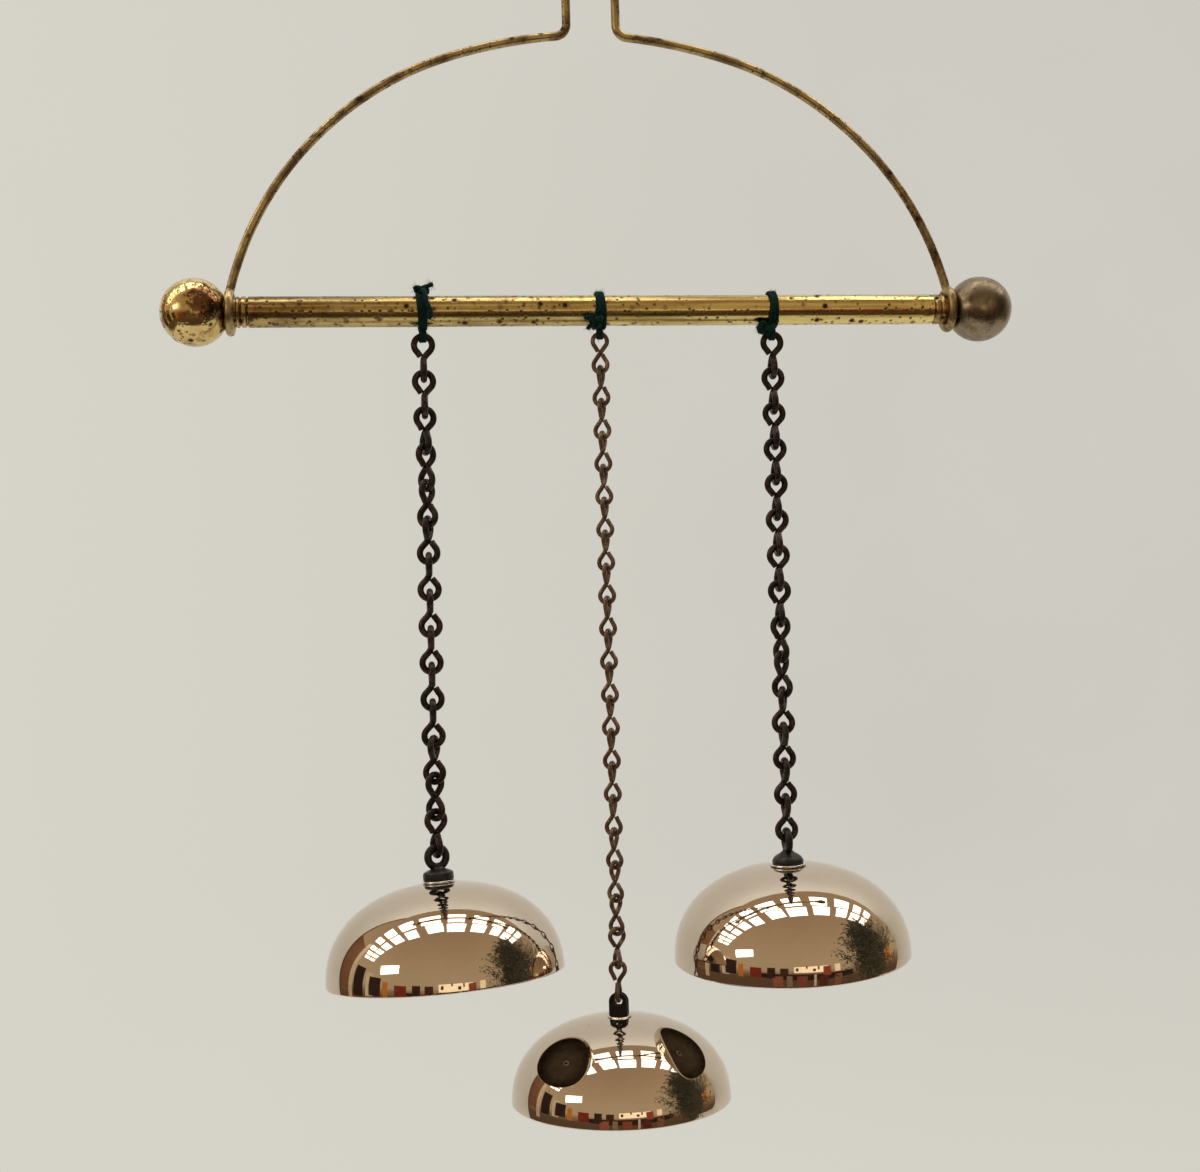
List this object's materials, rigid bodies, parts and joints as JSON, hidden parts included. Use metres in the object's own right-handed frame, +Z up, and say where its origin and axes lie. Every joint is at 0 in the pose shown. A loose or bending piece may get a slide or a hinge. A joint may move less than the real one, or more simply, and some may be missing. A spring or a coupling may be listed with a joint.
{
  "type": "hanging bell chime",
  "caption": "Hanging chime: a brass rod with ball finials on a bent wire bail, carrying polished bell domes on dark wire chains tied round the rod with yarn.",
  "frame": {"origin": "inside top of the bail's hanging loop, where a hook carries it", "axes": "+X along the rod, to the right as seen from the front; +Y away from the viewer; +Z up"},
  "size_m": [0.2264, 0.066, 0.3009],
  "materials": {
    "aged_brass_wire": "brown-patched brass wire with dark spots",
    "pitted_brass_tube": "half-polished brass with dark pits and long streaks",
    "dull_brass": "dull brass",
    "bright_brass": "polished brass with red-brown patches and pits",
    "dark_bronze": "satin dark bronze",
    "plain_steel": "plain steel",
    "green_yarn": "fuzzy plied yarn",
    "brown_brass_wire": "brown oxidised brass wire",
    "blackened_wire": "blackened wire with rusty hints",
    "black_iron": "black iron with worn edges",
    "nickel_plate": "bright plate",
    "polished_bell_metal": "polished warm bell metal, mirror smooth"
  },
  "bodies": {
    "bail": {"bail": "aged_brass_wire"},
    "rod": {"rod_tube": "pitted_brass_tube", "left_ferrule": "dull_brass", "right_ferrule": "dull_brass", "left_finial_ball": "bright_brass", "right_finial_ball": "dark_bronze", "left_finial_stud": "plain_steel", "right_finial_stud": "plain_steel"},
    "left_tie": {"left_yarn_tie": "green_yarn"},
    "centre_tie": {"centre_yarn_tie": "green_yarn"},
    "right_tie": {"right_yarn_tie": "green_yarn"},
    "left_link_01": {"left_link_01": "blackened_wire"},
    "left_link_02": {"left_link_02": "blackened_wire"},
    "left_link_03": {"left_link_03": "blackened_wire"},
    "left_link_04": {"left_link_04": "blackened_wire"},
    "left_link_05": {"left_link_05": "blackened_wire"},
    "left_link_06": {"left_link_06": "blackened_wire"},
    "left_link_07": {"left_link_07": "blackened_wire"},
    "left_link_08": {"left_link_08": "blackened_wire"},
    "left_link_09": {"left_link_09": "blackened_wire"},
    "left_link_10": {"left_link_10": "blackened_wire"},
    "left_link_11": {"left_link_11": "blackened_wire"},
    "left_link_12": {"left_link_12": "blackened_wire"},
    "left_link_13": {"left_link_13": "blackened_wire"},
    "left_link_14": {"left_link_14": "blackened_wire"},
    "left_bell": {"left_bell": "polished_bell_metal", "left_eye_bolt": "black_iron", "left_washer": "nickel_plate", "left_nut": "plain_steel"},
    "right_link_01": {"right_link_01": "blackened_wire"},
    "right_link_02": {"right_link_02": "blackened_wire"},
    "right_link_03": {"right_link_03": "blackened_wire"},
    "right_link_04": {"right_link_04": "blackened_wire"},
    "right_link_05": {"right_link_05": "blackened_wire"},
    "right_link_06": {"right_link_06": "blackened_wire"},
    "right_link_07": {"right_link_07": "blackened_wire"},
    "right_link_08": {"right_link_08": "blackened_wire"},
    "right_link_09": {"right_link_09": "blackened_wire"},
    "right_link_10": {"right_link_10": "blackened_wire"},
    "right_link_11": {"right_link_11": "blackened_wire"},
    "right_link_12": {"right_link_12": "blackened_wire"},
    "right_link_13": {"right_link_13": "blackened_wire"},
    "right_link_14": {"right_link_14": "blackened_wire"},
    "right_bell": {"right_bell": "polished_bell_metal", "right_eye_bolt": "black_iron", "right_washer": "nickel_plate", "right_nut": "plain_steel"},
    "centre_links_01": {"centre_links_01": "brown_brass_wire"},
    "centre_links_02": {"centre_links_02": "brown_brass_wire"},
    "centre_links_03": {"centre_links_03": "brown_brass_wire"},
    "centre_links_04": {"centre_links_04": "brown_brass_wire"},
    "centre_links_05": {"centre_links_05": "brown_brass_wire"},
    "centre_links_06": {"centre_links_06": "brown_brass_wire"},
    "centre_links_07": {"centre_links_07": "brown_brass_wire"},
    "centre_links_08": {"centre_links_08": "brown_brass_wire"},
    "centre_links_09": {"centre_links_09": "brown_brass_wire"},
    "centre_links_10": {"centre_links_10": "brown_brass_wire"},
    "centre_bell": {"centre_bell": "polished_bell_metal", "centre_lug": "black_iron", "centre_nut": "plain_steel"}
  },
  "joints": [
    {"name": "bail_swing", "type": "hinge", "parent": "bail", "child": "rod", "pos_m": [0, 0, -0.0915], "axis": [1, 0, 0], "range_deg": [-90, 90]},
    {"name": "left_tie_turn", "type": "hinge", "parent": "rod", "child": "left_tie", "pos_m": [-0.0465, 0, -0.0915], "axis": [1, 0, 0], "range_deg": [-30, 30]},
    {"name": "centre_tie_turn", "type": "hinge", "parent": "rod", "child": "centre_tie", "pos_m": [0, 0, -0.0915], "axis": [-1, 0, 0], "range_deg": [-30, 30]},
    {"name": "right_tie_turn", "type": "hinge", "parent": "rod", "child": "right_tie", "pos_m": [0.0465, 0, -0.0915], "axis": [1, 0, 0], "range_deg": [-30, 30]},
    {"name": "left_link_01_hinge", "type": "hinge", "parent": "left_tie", "child": "left_link_01", "pos_m": [-0.0465, 0, -0.0996], "axis": [0, 1, 0], "range_deg": [-3.1, 3.1]},
    {"name": "left_link_02_hinge", "type": "hinge", "parent": "left_link_01", "child": "left_link_02", "pos_m": [-0.0465, 0, -0.10745], "axis": [1, 0, 0], "range_deg": [-10, 10]},
    {"name": "left_link_03_hinge", "type": "hinge", "parent": "left_link_02", "child": "left_link_03", "pos_m": [-0.0465, 0, -0.11885], "axis": [0, 1, 0], "range_deg": [-3.5, 3.5]},
    {"name": "left_link_04_hinge", "type": "hinge", "parent": "left_link_03", "child": "left_link_04", "pos_m": [-0.0465, 0, -0.12645], "axis": [0.809, 0.5878, 0], "range_deg": [-6.4, 6.4]},
    {"name": "left_link_05_hinge", "type": "hinge", "parent": "left_link_04", "child": "left_link_05", "pos_m": [-0.0465, 0, -0.13785], "axis": [-0.5878, 0.809, 0], "range_deg": [-5, 5]},
    {"name": "left_link_06_hinge", "type": "hinge", "parent": "left_link_05", "child": "left_link_06", "pos_m": [-0.0465, 0, -0.14735], "axis": [0.809, -0.5878, 0], "range_deg": [-7.5, 7.5]},
    {"name": "left_link_07_hinge", "type": "hinge", "parent": "left_link_06", "child": "left_link_07", "pos_m": [-0.0465, 0, -0.15495], "axis": [0, 1, 0], "range_deg": [-4.7, 4.7]},
    {"name": "left_link_08_hinge", "type": "hinge", "parent": "left_link_07", "child": "left_link_08", "pos_m": [-0.0465, 0, -0.16635], "axis": [1, 0, 0], "range_deg": [-10, 10]},
    {"name": "left_link_09_hinge", "type": "hinge", "parent": "left_link_08", "child": "left_link_09", "pos_m": [-0.0465, 0, -0.17395], "axis": [0, 1, 0], "range_deg": [-5.7, 5.7]},
    {"name": "left_link_10_hinge", "type": "hinge", "parent": "left_link_09", "child": "left_link_10", "pos_m": [-0.0465, 0, -0.18535], "axis": [1, 0, 0], "range_deg": [-10, 10]},
    {"name": "left_link_11_hinge", "type": "hinge", "parent": "left_link_10", "child": "left_link_11", "pos_m": [-0.0465, 0, -0.19295], "axis": [0, 1, 0], "range_deg": [-7.2, 7.2]},
    {"name": "left_link_12_hinge", "type": "hinge", "parent": "left_link_11", "child": "left_link_12", "pos_m": [-0.0465, 0, -0.20435], "axis": [1, 0, 0], "range_deg": [-10, 10]},
    {"name": "left_link_13_hinge", "type": "hinge", "parent": "left_link_12", "child": "left_link_13", "pos_m": [-0.0465, 0, -0.21195], "axis": [0.7274, 0.6862, 0], "range_deg": [-10, 10]},
    {"name": "left_link_14_hinge", "type": "hinge", "parent": "left_link_13", "child": "left_link_14", "pos_m": [-0.0465, 0, -0.22145], "axis": [0.9397, 0.342, 0], "range_deg": [-10, 10]},
    {"name": "left_bell_hinge", "type": "hinge", "parent": "left_link_14", "child": "left_bell", "pos_m": [-0.0465, 0, -0.23285], "axis": [-0.342, 0.9397, 0], "range_deg": [-20, 20]},
    {"name": "right_link_01_hinge", "type": "hinge", "parent": "right_tie", "child": "right_link_01", "pos_m": [0.0465, 0, -0.0996], "axis": [0, 1, 0], "range_deg": [-3.1, 3.1]},
    {"name": "right_link_02_hinge", "type": "hinge", "parent": "right_link_01", "child": "right_link_02", "pos_m": [0.0465, 0, -0.10745], "axis": [1, 0, 0], "range_deg": [-10, 10]},
    {"name": "right_link_03_hinge", "type": "hinge", "parent": "right_link_02", "child": "right_link_03", "pos_m": [0.0465, 0, -0.11885], "axis": [0, 1, 0], "range_deg": [-3.5, 3.5]},
    {"name": "right_link_04_hinge", "type": "hinge", "parent": "right_link_03", "child": "right_link_04", "pos_m": [0.0465, 0, -0.12645], "axis": [1, 0, 0], "range_deg": [-10, 10]},
    {"name": "right_link_05_hinge", "type": "hinge", "parent": "right_link_04", "child": "right_link_05", "pos_m": [0.0465, 0, -0.13785], "axis": [0, 1, 0], "range_deg": [-4.1, 4.1]},
    {"name": "right_link_06_hinge", "type": "hinge", "parent": "right_link_05", "child": "right_link_06", "pos_m": [0.0465, 0, -0.14545], "axis": [1, 0, 0], "range_deg": [-10, 10]},
    {"name": "right_link_07_hinge", "type": "hinge", "parent": "right_link_06", "child": "right_link_07", "pos_m": [0.0465, 0, -0.15685], "axis": [0, 1, 0], "range_deg": [-4.8, 4.8]},
    {"name": "right_link_08_hinge", "type": "hinge", "parent": "right_link_07", "child": "right_link_08", "pos_m": [0.0465, 0, -0.16445], "axis": [1, 0, 0], "range_deg": [-10, 10]},
    {"name": "right_link_09_hinge", "type": "hinge", "parent": "right_link_08", "child": "right_link_09", "pos_m": [0.0465, 0, -0.17585], "axis": [0, 1, 0], "range_deg": [-5.8, 5.8]},
    {"name": "right_link_10_hinge", "type": "hinge", "parent": "right_link_09", "child": "right_link_10", "pos_m": [0.0465, 0, -0.18345], "axis": [0.7071, 0.7071, 0], "range_deg": [-9.1, 9.1]},
    {"name": "right_link_11_hinge", "type": "hinge", "parent": "right_link_10", "child": "right_link_11", "pos_m": [0.0465, 0, -0.19295], "axis": [0.3827, 0.9239, 0], "range_deg": [-7.8, 7.8]},
    {"name": "right_link_12_hinge", "type": "hinge", "parent": "right_link_11", "child": "right_link_12", "pos_m": [0.0465, 0, -0.20435], "axis": [0.9239, -0.3827, 0], "range_deg": [-10, 10]},
    {"name": "right_link_13_hinge", "type": "hinge", "parent": "right_link_12", "child": "right_link_13", "pos_m": [0.0465, 0, -0.21195], "axis": [0, 1, 0], "range_deg": [-9.9, 9.9]},
    {"name": "right_link_14_hinge", "type": "hinge", "parent": "right_link_13", "child": "right_link_14", "pos_m": [0.0465, 0, -0.22335], "axis": [1, 0, 0], "range_deg": [-10, 10]},
    {"name": "right_bell_hinge", "type": "hinge", "parent": "right_link_14", "child": "right_bell", "pos_m": [0.0465, 0, -0.23285], "axis": [1, 0, 0], "range_deg": [-40, 40]},
    {"name": "centre_links_01_hinge", "type": "hinge", "parent": "centre_tie", "child": "centre_links_01", "pos_m": [0, 0, -0.0991], "axis": [0, 1, 0], "range_deg": [-3.1, 3.1]},
    {"name": "centre_links_02_hinge", "type": "hinge", "parent": "centre_links_01", "child": "centre_links_02", "pos_m": [0, 0, -0.1165], "axis": [-0.9063, 0.4226, 0], "range_deg": [-8.3, 8.3]},
    {"name": "centre_links_03_hinge", "type": "hinge", "parent": "centre_links_02", "child": "centre_links_03", "pos_m": [0, 0, -0.1325], "axis": [0.4226, 0.9063, 0], "range_deg": [-4.3, 4.3]},
    {"name": "centre_links_04_hinge", "type": "hinge", "parent": "centre_links_03", "child": "centre_links_04", "pos_m": [0, 0, -0.1513], "axis": [-0.9063, 0.4226, 0], "range_deg": [-9, 9]},
    {"name": "centre_links_05_hinge", "type": "hinge", "parent": "centre_links_04", "child": "centre_links_05", "pos_m": [0, 0, -0.1673], "axis": [0.4226, 0.9063, 0], "range_deg": [-5.9, 5.9]},
    {"name": "centre_links_06_hinge", "type": "hinge", "parent": "centre_links_05", "child": "centre_links_06", "pos_m": [0, 0, -0.1861], "axis": [-0.9063, 0.4226, 0], "range_deg": [-9, 9]},
    {"name": "centre_links_07_hinge", "type": "hinge", "parent": "centre_links_06", "child": "centre_links_07", "pos_m": [0, 0, -0.2021], "axis": [0.4226, 0.9063, 0], "range_deg": [-9.2, 9.2]},
    {"name": "centre_links_08_hinge", "type": "hinge", "parent": "centre_links_07", "child": "centre_links_08", "pos_m": [0, 0, -0.2209], "axis": [-0.9063, 0.4226, 0], "range_deg": [-9, 9]},
    {"name": "centre_links_09_hinge", "type": "hinge", "parent": "centre_links_08", "child": "centre_links_09", "pos_m": [0, 0, -0.2369], "axis": [0.6202, 0.7844, 0], "range_deg": [-10, 10]},
    {"name": "centre_links_10_hinge", "type": "hinge", "parent": "centre_links_09", "child": "centre_links_10", "pos_m": [0, 0, -0.2543], "axis": [-0.9763, -0.2164, 0], "range_deg": [-9, 9]},
    {"name": "centre_bell_hinge", "type": "hinge", "parent": "centre_links_10", "child": "centre_bell", "pos_m": [0, 0, -0.2731], "axis": [0.342, 0.9397, 0], "range_deg": [-15, 15]}
  ]
}
